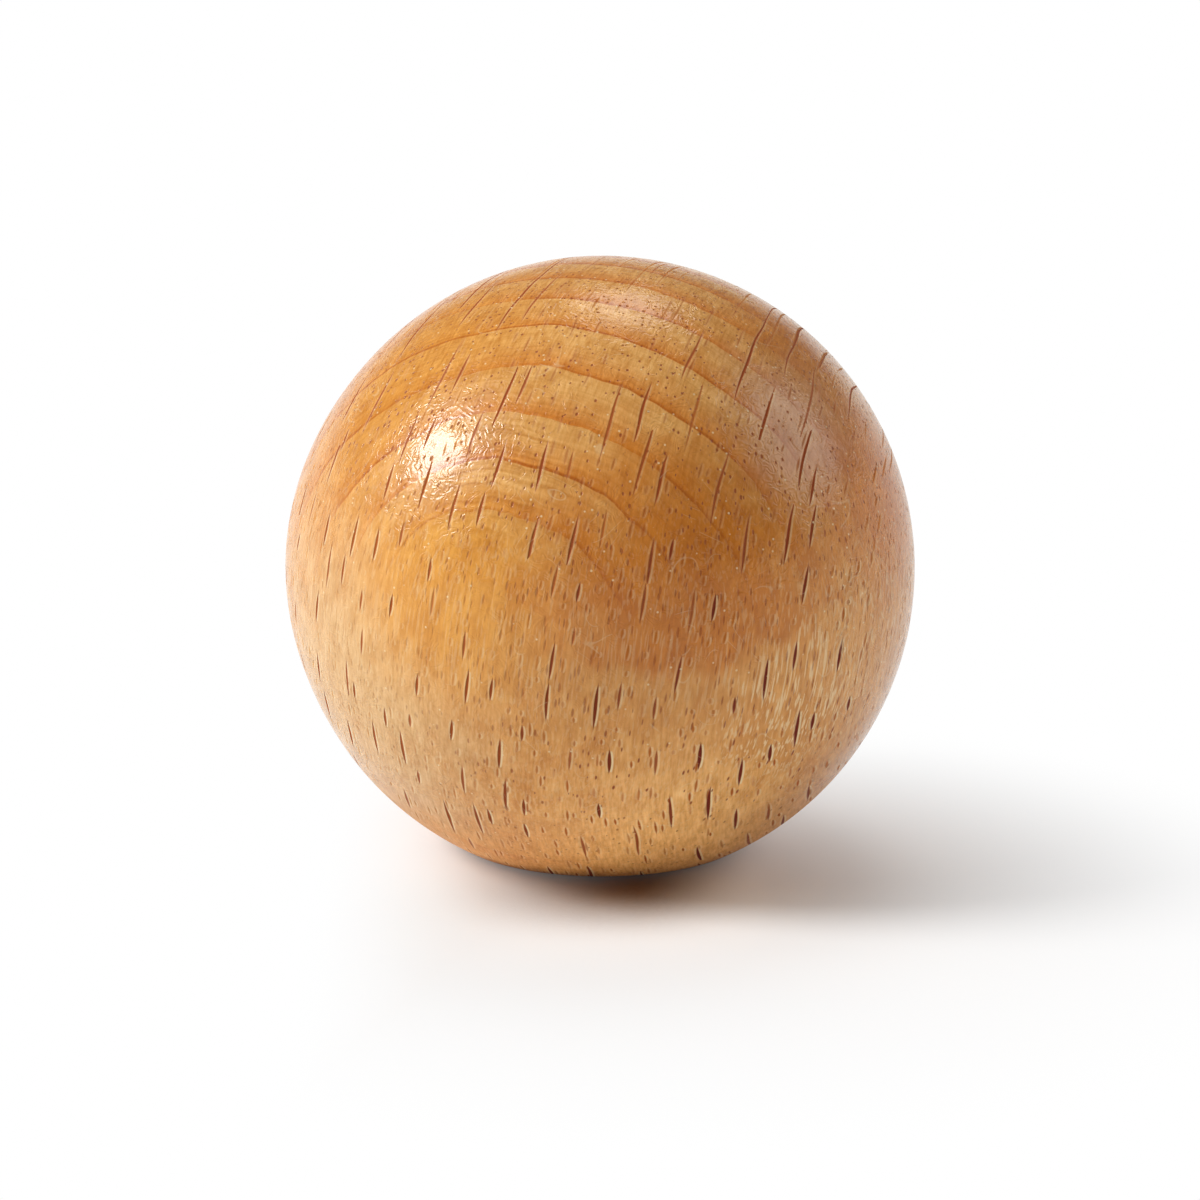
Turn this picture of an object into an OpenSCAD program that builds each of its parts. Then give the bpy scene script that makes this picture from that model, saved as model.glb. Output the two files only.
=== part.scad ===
// Ball cabinet knob: a turned wooden ball with a flat seat, and a screw-in
// insert in its back that takes the mounting screw. Millimetres, +Z up, away
// from the door. The origin is the centre of the seat, so the knob stands on it.

/* [Ball] */
// Diameter of the turned ball
ball_d = 30; // [25:0.5:40]
// Diameter of the flat that the ball stands on, before its edge is rounded
seat_d = 14; // [13:0.5:17]
// Radius that softens the edge of the flat
seat_edge_r = 0.5; // [0.2:0.1:0.8]

/* [Hole in the ball] */
// Play between the insert and the wood, on every side
insert_play = 0.05; // [0.03:0.01:0.08]
// How far the insert's flange lies below the seat
flange_sink = 0.3; // [0.1:0.1:0.6]
// Depth of the hole past the insert, for the end of the screw
screw_room = 3; // [1.5:0.5:4]
// Angle of the drill's point
drill_angle = 118; // [90:1:140]
// Width of the break at the mouth of the hole
mouth_break = 0.25; // [0.1:0.05:0.4]

/* [Insert] */
// Length of the insert, flange included
insert_len = 10; // [8:0.5:12]
// Diameter of the insert's body
core_d = 6.2; // [6:0.1:7.4]
// Diameter of the flange
flange_d = 9.6; // [9:0.1:10.4]
// Thickness of the flange
flange_t = 1; // [0.8:0.1:1.4]
// Width of the break on the flange's outer edge
flange_break = 0.2; // [0.1:0.05:0.3]
// Length of the tapered nose
nose_len = 1.2; // [0.8:0.1:1.6]
// Diameter at the end of the nose
nose_d = 5; // [4.8:0.1:5.4]

/* [Wood thread] */
// Diameter over the crests of the wood thread
thread_d = 8; // [7.6:0.1:8.6]
// Rise of the wood thread in one turn
thread_pitch = 2.5; // [2:0.1:3]
// Width of the thread's root, where it leaves the body
thread_root_w = 1.1; // [0.8:0.1:1.3]
// Width of the thread's crest
thread_crest_w = 0.2; // [0.1:0.05:0.3]
// Turn over which each end of the thread rises out of the body, in degrees
thread_fade = 150; // [60:10:240]

/* [Drive and screw hole] */
// Width of the hexagon socket across its flats
hex_af = 4.1; // [4:0.1:4.9]
// Depth of the hexagon socket
hex_depth = 3; // [2.5:0.1:3.6]
// Width of the break round the mouth of the socket
hex_break = 0.3; // [0.1:0.1:0.4]
// Core diameter of the screw hole, for an M4 thread
screw_core_d = 3.3; // [3.2:0.05:3.5]
// Width of the break at each end of the screw hole
screw_break = 0.35; // [0.2:0.05:0.4]

/* [Hidden] */
$fn = 128;

// Overshoot that keeps a cut clear of the face it starts from
cut = 1;
// How deep the thread's root is buried in the body
thread_bury = 0.4;
// Steps of the thread in one turn
thread_steps = 36;
// Share of the thread's height that its closed ends keep, inside the body
thread_least_rise = 0.1;

ball_r = ball_d / 2;
seat_r = seat_d / 2;
core_r = core_d / 2;
flange_r = flange_d / 2;
thread_r = thread_d / 2;
screw_r = screw_core_d / 2;
// Corner radius of the hexagon
hex_corner_r = hex_af / 2 / cos(30);

// Height of the ball's centre above the seat
ball_z = sqrt(ball_r ^ 2 - seat_r ^ 2);
// Centre of the seat's edge round, which touches both the flat and the ball
edge_x = sqrt((ball_r - seat_edge_r) ^ 2 - (ball_z - seat_edge_r) ^ 2);
// Where that round runs into the ball
edge_scale = ball_r / (ball_r - seat_edge_r);
edge_end_x = edge_x * edge_scale;
edge_end_z = ball_z + (seat_edge_r - ball_z) * edge_scale;

// Heights along the insert, from its drive end to its nose
insert_z = flange_sink;
shoulder_z = insert_z + flange_t;
nose_z = insert_z + insert_len;
nose_start_z = nose_z - nose_len;
hex_floor_z = insert_z + hex_depth;

// Heights and radii of the hole in the wood
hole_r = core_r + insert_play;
counterbore_r = flange_r + insert_play;
hole_z = nose_z + screw_room;
drill_tip_z = hole_z + hole_r / tan(drill_angle / 2);

// The wood thread runs from just above the shoulder to the nose's taper
thread_start_z = shoulder_z + thread_root_w;
thread_end_z = nose_z - thread_root_w;
thread_turn = 360 * (thread_end_z - thread_start_z) / thread_pitch;
// The groove starts in the open counterbore, so that it is full where the wood begins
groove_lead = thread_fade + 360 * thread_root_w / thread_pitch;

// Radius of the insert's body at a height: plain, then tapered at the nose
function body_r(z) =
    z < nose_start_z ? core_r : core_r + (nose_d / 2 - core_r) * (z - nose_start_z) / nose_len;

// How far the crest stands out: a little at each end, still in the body, then rising to 1
function thread_rise(from_end) =
    from_end >= thread_fade ? 1 : max(thread_least_rise, sin(90 * from_end / thread_fade));

// Corners of the thread's section at a turn, grown by `play` on every side
function thread_section(turn, from_end, play) =
    let (
        z = thread_start_z + thread_pitch * turn / 360,
        inner_r = body_r(z) - thread_bury,
        outer_r = inner_r + (thread_r + play - inner_r) * thread_rise(from_end),
        root = thread_root_w / 2 + play,
        crest = thread_crest_w / 2 + play
    )
    [
        for (corner = [[inner_r, -root], [inner_r, root], [outer_r, crest], [outer_r, -crest]])
        [corner.x * cos(turn), corner.x * sin(turn), z + corner.y]
    ];

// The helical ridge of the wood thread, from a turn to the nose, its ends closed
module wood_thread(first_turn = 0, play = 0) {
    span = thread_turn - first_turn;
    steps = ceil(thread_steps * span / 360);
    sections = [
        for (i = [0:steps])
        thread_section(first_turn + span * i / steps, span / steps * min(i, steps - i), play)
    ];
    skin = [
        for (i = [0:steps - 1], side = [0:3])
        let (here = 4 * i + side, beside = 4 * i + (side + 1) % 4)
        each [[here, here + 4, beside + 4], [here, beside + 4, beside]]
    ];
    last = 4 * steps;
    ends = [[0, 1, 2], [0, 2, 3], [last + 2, last + 1, last], [last + 3, last + 2, last]];
    polyhedron(points = [for (section = sections) each section], faces = concat(skin, ends));
}

// Half section of the ball: a circle cut by the seat, its edge rounded
module ball_profile() {
    intersection() {
        translate([0, ball_z]) circle(r = ball_r);
        translate([0, edge_end_z]) square([ball_d, ball_d]);
    }
    polygon([[0, 0], [edge_x, 0], [edge_end_x, edge_end_z], [0, edge_end_z]]);
    translate([edge_x, seat_edge_r]) circle(r = seat_edge_r);
}

// Half section of the hole: counterbore, drilled hole and the drill's point
module hole_profile() {
    polygon([
        [0, -cut],
        [counterbore_r + mouth_break + cut, -cut],
        [counterbore_r, mouth_break],
        [counterbore_r, shoulder_z],
        [hole_r, shoulder_z],
        [hole_r, hole_z],
        [0, drill_tip_z],
    ]);
}

// The ball, turned in one piece, with the hole for its insert
module wooden_ball() {
    color("burlywood")
    difference() {
        rotate_extrude() ball_profile();
        rotate_extrude() hole_profile();
        wood_thread(-groove_lead, insert_play);
    }
}

// Half section of the insert's outside: flange, body and tapered nose
module insert_profile() {
    polygon([
        [0, insert_z],
        [flange_r - flange_break, insert_z],
        [flange_r, insert_z + flange_break],
        [flange_r, shoulder_z],
        [core_r, shoulder_z],
        [core_r, nose_start_z],
        [nose_d / 2, nose_z],
        [0, nose_z],
    ]);
}

// Half section of the screw hole, from the socket's floor out of the nose
module screw_hole_profile() {
    polygon([
        [0, hex_floor_z - cut],
        [screw_r + screw_break, hex_floor_z - cut],
        [screw_r + screw_break, hex_floor_z],
        [screw_r, hex_floor_z + screw_break],
        [screw_r, nose_z - screw_break],
        [screw_r + screw_break + cut, nose_z + cut],
        [0, nose_z + cut],
    ]);
}

// Cone that breaks the edge at the mouth of the hexagon socket
module socket_mouth() {
    mouth_r = hex_corner_r + hex_break;
    translate([0, 0, insert_z - cut])
        cylinder(r1 = mouth_r + cut, r2 = mouth_r - hex_break - cut, h = 2 * cut + hex_break);
}

// The insert: flanged and threaded outside, hexagon socket and screw hole inside
module threaded_insert() {
    color("silver")
    difference() {
        union() {
            rotate_extrude() insert_profile();
            wood_thread();
        }
        translate([0, 0, insert_z - cut]) cylinder(r = hex_corner_r, h = hex_depth + cut, $fn = 6);
        socket_mouth();
        rotate_extrude() screw_hole_profile();
    }
}

wooden_ball();
threaded_insert();
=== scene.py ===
"""Looks of a turned wooden ball knob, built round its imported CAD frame.

The knob stands on its seat on a pale floor, under soft studio light. Lengths
are in metres and the frame is the CAD model's own: +Z up, the origin at the
centre of the seat. The wood is one solid pattern in space, so its growth
rings, rays and vessels run on round the ball and into the bored hole.
"""

import logging
import math
from contextlib import contextmanager
from dataclasses import dataclass
from enum import Enum
from functools import reduce
from typing import Callable, Iterator, Optional, Sequence, Union

import bmesh
import bpy
from mathutils import Euler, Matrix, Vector


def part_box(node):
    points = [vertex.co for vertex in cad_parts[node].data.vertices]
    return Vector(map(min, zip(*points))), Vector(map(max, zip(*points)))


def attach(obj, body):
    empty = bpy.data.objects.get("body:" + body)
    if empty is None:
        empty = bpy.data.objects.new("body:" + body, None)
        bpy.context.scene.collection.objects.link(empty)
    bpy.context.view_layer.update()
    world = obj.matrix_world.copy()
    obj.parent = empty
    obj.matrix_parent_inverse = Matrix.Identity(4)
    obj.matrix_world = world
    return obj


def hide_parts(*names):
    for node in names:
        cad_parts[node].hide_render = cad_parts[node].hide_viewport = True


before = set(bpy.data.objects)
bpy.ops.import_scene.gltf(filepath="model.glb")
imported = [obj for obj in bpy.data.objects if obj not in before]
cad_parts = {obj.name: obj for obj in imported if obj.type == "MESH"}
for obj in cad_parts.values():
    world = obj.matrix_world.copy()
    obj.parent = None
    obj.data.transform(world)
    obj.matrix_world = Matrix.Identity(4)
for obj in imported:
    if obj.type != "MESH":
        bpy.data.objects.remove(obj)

log = logging.getLogger("ball_knob")

MM = 0.001
TINY = 0.002
FULL_TURN = 2 * math.pi
SMOOTH_UP_TO = math.radians(30)
IMAGE_PX = 1200.0
NODE_STEP = 200
MERGED = 0.0002
ROUND = 0.5

Colour = tuple[float, float, float]
Point = tuple[float, float, float]
Span = tuple[float, float]
Node = bpy.types.Node
Group = bpy.types.NodeTree
Socket = bpy.types.NodeSocket
Sockets = bpy.types.bpy_prop_collection
Material = bpy.types.Material
Piece = bpy.types.Object
Value = Union[Socket, float, Sequence[float]]
Test = Callable[[Vector], bool]


# ---------------------------------------------------------------- node graphs


class SocketKind(Enum):
    """Kinds of socket that a node group's interface may have."""

    VALUE = "NodeSocketFloat"
    VECTOR = "NodeSocketVector"


class Graph:
    """A node tree with one short call for each kind of node that is used here."""

    def __init__(self, tree: Group) -> None:
        """Wraps a tree.

        Args:
            tree: The node tree that the calls add to.
        """
        self.tree = tree
        self.column = 0

    def node(self, kind: str, inputs: Optional[dict[Union[int, str], Optional[Value]]] = None,
             **settings: object) -> Node:
        """Adds a node, sets its properties and feeds its inputs.

        Args:
            kind: Blender's name for the node type.
            inputs: What goes into its inputs, by name or by place.
            **settings: Properties of the node, by name.

        Returns:
            The new node.
        """
        new = self.tree.nodes.new(kind)
        new.location = (NODE_STEP * self.column, 0)
        self.column += 1
        for name, value in settings.items():
            setattr(new, name, value)
        for name, value in (inputs or {}).items():
            self.feed(new.inputs[name], value)
        return new

    def feed(self, target: Socket, value: Optional[Value]) -> None:
        """Links a socket to an input, or sets the input's own value.

        Args:
            target: The input socket.
            value: A socket to link, a number or numbers to set, or None to leave it.
        """
        if value is None:
            return
        if isinstance(value, Socket):
            self.tree.links.new(value, target)
        elif isinstance(value, (int, float)):
            target.default_value = value
        elif len(value) == 3 and len(target.default_value) == 4:
            target.default_value = (*value, 1.0)
        else:
            target.default_value = tuple(value)

    def math(self, operation: str, *values: Value) -> Socket:
        """Returns what a Math node makes of up to three values."""
        return self.node("ShaderNodeMath", dict(enumerate(values)), operation=operation).outputs[0]

    def times(self, *values: Value) -> Socket:
        """Returns the product of two or more values."""
        return reduce(lambda a, b: self.math("MULTIPLY", a, b), values)

    def plus(self, *values: Value) -> Socket:
        """Returns the sum of two or more values."""
        return reduce(lambda a, b: self.math("ADD", a, b), values)

    def most(self, *values: Value) -> Socket:
        """Returns the greatest of two or more values."""
        return reduce(lambda a, b: self.math("MAXIMUM", a, b), values)

    def minus(self, a: Value, b: Value) -> Socket:
        """Returns the difference of two values."""
        return self.math("SUBTRACT", a, b)

    def over(self, a: Value, b: Value) -> Socket:
        """Returns one value divided by another."""
        return self.math("DIVIDE", a, b)

    def radius(self, x: Value, y: Value) -> Socket:
        """Returns the distance from the Z axis of a point with this X and Y."""
        return self.math("SQRT", self.plus(self.times(x, x), self.times(y, y)))

    def vector_math(self, operation: str, *vectors: Value) -> Sockets:
        """Returns the outputs, Vector and Value, of a Vector Math node."""
        return self.node("ShaderNodeVectorMath", dict(enumerate(vectors)),
                         operation=operation).outputs

    def scaled(self, vector: Value, by: Value) -> Socket:
        """Returns a vector times a number."""
        return self.node("ShaderNodeVectorMath", {"Vector": vector, "Scale": by},
                         operation="SCALE").outputs["Vector"]

    def split(self, vector: Value) -> tuple[Socket, Socket, Socket]:
        """Returns a vector's X, Y and Z."""
        return tuple(self.node("ShaderNodeSeparateXYZ", {0: vector}).outputs)

    def join(self, x: Value, y: Value, z: Value = 0.0) -> Socket:
        """Returns the vector of three values."""
        return self.node("ShaderNodeCombineXYZ", {0: x, 1: y, 2: z}).outputs[0]

    def parted(self, vector: Value, sizes: Point) -> Socket:
        """Returns a vector with its X, Y and Z divided by three sizes."""
        return self.vector_math("DIVIDE", vector, sizes)["Vector"]

    def stretch(self, place: Value, across: float, along: float) -> Socket:
        """Returns a place divided by a cell's width across the fibre and length along it."""
        return self.parted(place, (across, across, along))

    def noise(self, place: Value, scale: float = 1.0, detail: float = 2.0,
              roughness: float = 0.5, distortion: float = 0.0) -> Socket:
        """Adds a Noise Texture.

        Args:
            place: Where the noise is read.
            scale: Its waves in one unit of the place.
            detail: Its finer octaves.
            roughness: How strong the finer octaves are.
            distortion: How far the noise is warped.

        Returns:
            The noise, from 0 to 1.
        """
        inputs = {"Vector": place, "Scale": scale, "Detail": detail,
                  "Roughness": roughness, "Distortion": distortion}
        return self.node("ShaderNodeTexNoise", inputs).outputs["Fac"]

    def cells(self, place: Value, randomness: float = 1.0,
              flat: bool = False) -> Node:
        """Adds a Voronoi Texture of nearest points.

        Args:
            place: Where the cells are read, a unit for each cell.
            randomness: How unevenly the points lie, from 0 to 1.
            flat: Whether the cells lie in X and Y only.

        Returns:
            The node.
        """
        inputs = {"Vector": place, "Scale": 1.0, "Randomness": randomness}
        return self.node("ShaderNodeTexVoronoi", inputs, voronoi_dimensions="2D" if flat else "3D")

    def chances(self, cell: Node) -> tuple[Socket, Socket, Socket]:
        """Returns three values from 0 to 1 that differ from cell to cell."""
        return tuple(self.node("ShaderNodeSeparateColor", {0: cell.outputs["Color"]}).outputs)

    def place_mm(self) -> Socket:
        """Returns a point's place in the knob's frame, in millimetres."""
        return self.scaled(self.node("ShaderNodeTexCoord").outputs["Object"], 1 / MM)

    def bump(self, height: Value, depth_mm: float, under: Optional[Socket] = None) -> Socket:
        """Turns a height into a normal.

        Args:
            height: The height, where 1 is the full depth.
            depth_mm: That depth, in millimetres.
            under: The normal that it is laid on, if there is one.

        Returns:
            The bumped normal.
        """
        inputs = {"Strength": 1.0, "Distance": depth_mm * MM, "Height": height, "Normal": under}
        return self.node("ShaderNodeBump", inputs).outputs["Normal"]

    def remap(self, value: Value, low: Value, high: Value, to_low: Value = 0.0,
              to_high: Value = 1.0, smooth: bool = True) -> Socket:
        """Maps a span of values onto another, clamped at both ends.

        Args:
            value: The value to map.
            low: Start of the span.
            high: End of the span.
            to_low: What the start becomes.
            to_high: What the end becomes.
            smooth: Whether the change eases in and out.

        Returns:
            The mapped value.
        """
        inputs = {"Value": value, "From Min": low, "From Max": high,
                  "To Min": to_low, "To Max": to_high}
        return self.node("ShaderNodeMapRange", inputs, interpolation_type="SMOOTHSTEP"
                         if smooth else "LINEAR").outputs["Result"]

    def blend(self, factor: Value, a: Value, b: Value, kind: str = "MIX") -> Socket:
        """Returns a mix of two colours."""
        return self.node("ShaderNodeMix", {0: factor, 6: a, 7: b}, data_type="RGBA",
                         blend_type=kind).outputs[2]

    def painted(self, ground: Value, *coats: tuple[Value, Value]) -> Socket:
        """Lays colours over a ground, one after another.

        Args:
            ground: The colour underneath.
            *coats: For each colour how much of it shows, and the colour.

        Returns:
            The colour on top.
        """
        for share, colour in coats:
            ground = self.blend(share, ground, colour)
        return ground

    def shade(self, colour: Value, *tones: Value) -> Socket:
        """Multiplies a colour by tones, so that darker wood is also redder.

        Args:
            colour: The colour.
            *tones: How bright it gets, where 1 leaves it.

        Returns:
            The shaded colour.
        """
        red_power, blue_power = 0.6, 1.7
        for tone in tones:
            tints = self.join(self.math("POWER", tone, red_power), tone,
                              self.math("POWER", tone, blue_power))
            colour = self.blend(1.0, colour, tints, "MULTIPLY")
        return colour

    def between(self, factor: Value, a: Value, b: Value) -> Socket:
        """Returns a mix of two values."""
        return self.node("ShaderNodeMix", {0: factor, 2: a, 3: b}, data_type="FLOAT").outputs[0]

    def use(self, group: Group, **inputs: Value) -> Sockets:
        """Places a node group.

        Args:
            group: The group's tree.
            **inputs: Its inputs by name, with spaces written as underscores.

        Returns:
            The group's outputs, which are read by name.
        """
        named = {name.replace("_", " "): value for name, value in inputs.items()}
        return self.node("ShaderNodeGroup", named, node_tree=group).outputs


class EffectGroup:
    """A shader node group that is read at a place, with named inputs and outputs."""

    def __init__(self, name: str, inputs: dict[str, Union[float, Point]],
                 outputs: Sequence[str]) -> None:
        """Starts the group's tree and its interface.

        Args:
            name: The group's name.
            inputs: Defaults of the inputs after the place, by name.
            outputs: Names of the outputs.
        """
        self.tree = bpy.data.node_groups.new(name, "ShaderNodeTree")
        for label, default in {"Place": (0.0, 0.0, 0.0), **inputs}.items():
            kind = SocketKind.VECTOR if isinstance(default, tuple) else SocketKind.VALUE
            socket = self.tree.interface.new_socket(
                name=label, in_out="INPUT", socket_type=kind.value)
            socket.default_value = default
        for label in outputs:
            self.tree.interface.new_socket(
                name=label, in_out="OUTPUT", socket_type=SocketKind.VALUE.value)
        self.graph = Graph(self.tree)
        self.given = self.graph.node("NodeGroupInput").outputs
        self.result = self.graph.node("NodeGroupOutput").inputs

    def put(self, **values: Socket) -> Group:
        """Links the outputs.

        Args:
            **values: What each output gives, by name.

        Returns:
            The finished tree.
        """
        for name, value in values.items():
            self.graph.feed(self.result[name], value)
        return self.tree


# ------------------------------------------------------------------- the wood


@dataclass(frozen=True)
class TreeFrame:
    """How the ball was cut from its tree. Lengths are in millimetres.

    Attributes:
        pith: A point on the tree's centre line, in the knob's frame.
        lean: Turn of the tree's centre line from +Z, in degrees about X, Y and Z.
        reach: Distance from that line to the middle of the ball.
    """

    pith: Point = (16.2, 52.4, 13.3)
    lean: Point = (2.9, 7.5, 0.0)
    reach: float = 54.8

    def turn(self) -> Euler:
        """Returns the lean as a rotation."""
        return Euler([math.radians(angle) for angle in self.lean])

    def place(self, graph: Graph) -> Socket:
        """Adds the nodes for a point's place in the tree, Z along its centre line.

        Args:
            graph: The graph that the nodes go into.

        Returns:
            The place, in millimetres.
        """
        inputs = {"Vector": graph.place_mm(), "Location": self.pith,
                  "Rotation": tuple(self.turn())}
        return graph.node("ShaderNodeMapping", inputs, vector_type="TEXTURE").outputs["Vector"]

    def facing(self, graph: Graph) -> Socket:
        """Adds the nodes for the surface's normal in the tree's frame.

        Args:
            graph: The graph that the nodes go into.

        Returns:
            The normal.
        """
        inputs = {"Vector": graph.node("ShaderNodeTexCoord").outputs["Normal"],
                  "Rotation": tuple(self.turn())}
        return graph.node("ShaderNodeVectorRotate", inputs, rotation_type="EULER_XYZ",
                          invert=True).outputs["Vector"]

    def along_rays(self, graph: Graph, place: Socket, facing: Socket) -> Socket:
        """Adds the nodes that say how far a surface is cut along the rays.

        Args:
            graph: The graph that the nodes go into.
            place: The point's place in the tree.
            facing: The surface's normal in the tree's frame.

        Returns:
            0 where the rays are cut across, and 1 where they lie in the surface.
        """
        x, y, _ = graph.split(place)
        around = graph.join(graph.times(y, -1.0), x)
        around = graph.vector_math("NORMALIZE", around)["Vector"]
        turned = graph.vector_math("DOT_PRODUCT", facing, around)["Value"]
        return graph.remap(graph.math("ABSOLUTE", turned), 0.80, 0.93)


class WoodEffects:
    """The node groups that every cut of the wood shares. Lengths are in millimetres."""

    def __init__(self, tree: TreeFrame) -> None:
        """Builds the groups.

        Args:
            tree: How the wood lies in its tree.
        """
        self.tree = tree
        self.rings = self._growth_rings()
        self.rays = self._ray_flecks()
        self.vessels = self._vessels()
        self.fibres = self._fibres()
        self.patch = self._soft_patch()

    def _around(self, g: Graph, x: Value, y: Value) -> Socket:
        """Returns how far round the pith a point lies, measured at the ball's reach."""
        return g.times(g.math("ARCTAN2", y, x), self.tree.reach)

    def _growth_rings(self) -> Group:
        """Growth rings: pale early wood that darkens to a thin line at each ring's end.

        Returns:
            The group, which gives the tone, the line and the layers inside a ring.
        """
        crowded_past, crowding, first_ring = 9.0, 0.0075, 0.49
        line_cell, layer_cell = (1.0, 7.0, 9.0), (0.11, 3.5, 6.0)
        group = EffectGroup("growth_rings", {"Ring Width": 2.1, "Waviness": 1.1},
                            ("Tone", "Line", "Layers"))
        g, given = group.graph, group.given
        x, y, z = g.split(given["Place"])
        around = self._around(g, x, y)
        slow = g.noise(g.stretch(given["Place"], 9.0, 30.0), detail=1.0)
        quick = g.noise(g.stretch(given["Place"], 1.6, 6.0))
        sway = g.plus(g.minus(slow, 0.5), g.times(g.minus(quick, 0.5), 0.25))
        depth = g.math("MULTIPLY_ADD", sway, given["Waviness"],
                       g.minus(g.radius(x, y), self.tree.reach))
        late = g.most(g.minus(depth, crowded_past), 0.0)
        squeeze = g.times(g.math("POWER", late, 3.0), crowding)
        count = g.plus(g.over(depth, given["Ring Width"]), squeeze, first_ring)
        share = g.math("FRACT", count)
        end = g.remap(share, 0.975, 1.0, 1.0, 0.0)
        tone = g.times(g.math("POWER", g.remap(share, 0.2, 0.97, smooth=False), 1.8), end)
        line = g.times(g.remap(share, 0.91, 0.965), end)
        broken = g.noise(g.parted(g.join(count, around, z), line_cell), scale=0.9)
        line = g.times(line, g.remap(broken, 0.38, 0.58, 0.15, 1.0))
        layers = g.noise(g.parted(g.join(depth, around, z), layer_cell), detail=1.0, roughness=0.6)
        return group.put(Tone=tone, Line=line, Layers=layers)

    def _ray_flecks(self) -> Group:
        """Rays: thin upright lenses that run out from the tree's centre.

        Returns:
            The group, which gives the flecks and the pale bands at their sides, the right-hand band
            fuller as a painted highlight.
        """
        band_off, band_half, soft_edge = 0.05, 0.06, (-0.03, 0.026)
        group = EffectGroup(
            "ray_flecks", {"Spacing": 1.45, "Rise": 2.6, "Height": 1.55, "Thickness": 0.15,
                           "Share": 0.75, "Meander": 0.5}, ("Mask", "Side"))
        g, given = group.graph, group.given
        x, y, z = g.split(given["Place"])
        drift = g.noise(g.stretch(given["Place"], 5.0, 5.0), detail=1.0)
        around = g.math("MULTIPLY_ADD", g.minus(drift, 0.5), given["Meander"],
                        self._around(g, x, y))
        flat = g.join(g.over(around, given["Spacing"]), g.over(z, given["Rise"]))
        cell = g.cells(flat, randomness=0.9, flat=True)
        off = g.vector_math("SUBTRACT", flat, cell.outputs["Position"])["Vector"]
        across, up, _ = g.split(off)
        across = g.times(across, given["Spacing"])
        tall, chance, strong = g.chances(cell)
        half = g.times(given["Height"], g.remap(tall, 0.0, 1.0, 0.22, 0.68, smooth=False))
        along = g.over(g.times(up, given["Rise"]), half)
        body = g.minus(1.0, g.times(along, along))
        reach = g.times(given["Thickness"], 0.5, body)
        aside = g.math("ABSOLUTE", across)
        mask = g.remap(g.minus(reach, aside), *soft_edge)
        strength = g.times(g.remap(strong, 0.0, 0.7, 0.4, 1.0, smooth=False),
                           g.math("LESS_THAN", chance, given["Share"]))
        # Painted highlight: the pale band is fuller on a fleck's right side, standing in for key
        # light on the sunken fleck's wall.
        beside = g.math("ABSOLUTE", g.minus(aside, g.plus(reach, band_off)))
        side = g.times(g.remap(beside, 0.0, band_half, 1.0, 0.0), g.remap(body, 0.0, 0.3),
                       g.remap(across, -0.02, 0.02, 0.45, 1.0))
        return group.put(Mask=g.times(mask, strength), Side=g.times(side, strength))

    def _vessels(self) -> Group:
        """Vessels: fine tubes along the fibre, dots on end grain and dashes on side grain.

        Returns:
            The group, which gives the vessels.
        """
        group = EffectGroup("vessels", {"Spacing": 0.26, "Rise": 0.8, "Radius": 0.055,
                                        "Half Height": 0.3, "Share": 1.0}, ("Mask",))
        g, given = group.graph, group.given
        cell_size = g.join(given["Spacing"], given["Spacing"], given["Rise"])
        scaled = g.parted(given["Place"], cell_size)
        cell = g.cells(scaled)
        wide, chance, _ = g.chances(cell)
        off = g.vector_math("SUBTRACT", scaled, cell.outputs["Position"])["Vector"]
        size = g.remap(wide, 0.0, 1.0, 0.6, 1.2, smooth=False)
        across = g.over(given["Spacing"], g.times(given["Radius"], size))
        along = g.over(given["Rise"], given["Half Height"])
        reach = g.vector_math("MULTIPLY", off, g.join(across, across, along))["Vector"]
        mask = g.remap(g.vector_math("LENGTH", reach)["Value"], 0.55, 1.25, 1.0, 0.0)
        return group.put(Mask=g.times(mask, g.math("LESS_THAN", chance, given["Share"])))

    def _fibres(self) -> Group:
        """Fibres: fine streaks along the grain, broader figure, and slow changes of tone.

        Returns:
            The group, which also gives the short flakes of rays cut along their length.
        """
        hair_cell, flake_cell = (0.11, 0.7, 1.2), (2.0, 1.1, 0.4)
        group = EffectGroup("fibres", {}, ("Fine", "Figure", "Mottle", "Slow", "Flake"))
        g, given = group.graph, group.given
        x, y, z = g.split(given["Place"])
        in_tree = g.join(self._around(g, x, y), g.radius(x, y), z)
        flake = g.noise(g.parted(in_tree, flake_cell), detail=1.0)
        return group.put(
            Fine=g.noise(g.parted(in_tree, hair_cell), roughness=0.6),
            Figure=g.noise(g.stretch(given["Place"], 0.12, 1.8), detail=1.0, distortion=0.4),
            Mottle=g.noise(g.stretch(given["Place"], 0.9, 1.4), detail=3.0, roughness=0.6),
            Slow=g.noise(g.stretch(given["Place"], 6.0, 9.0)),
            Flake=g.remap(flake, 0.58, 0.66))

    def _soft_patch(self) -> Group:
        """A soft-edged, ragged patch of another tone, such as a stain's, and also of painted shade
        and sheen.

        Returns:
            The group, which gives the patch.
        """
        group = EffectGroup("soft_patch", {"Centre": (0.0, 0.0, 0.0), "Reach": 4.0,
                                           "Ragged": 0.5, "Edge": 0.25}, ("Mask",))
        g, given = group.graph, group.given
        away = g.vector_math("DISTANCE", given["Place"], given["Centre"])["Value"]
        rough = g.noise(g.scaled(given["Place"], 0.6))
        share = g.math("MULTIPLY_ADD", g.minus(rough, 0.5), given["Ragged"],
                       g.over(away, given["Reach"]))
        return group.put(Mask=g.remap(share, given["Edge"], 1.0, 1.0, 0.0))


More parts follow.
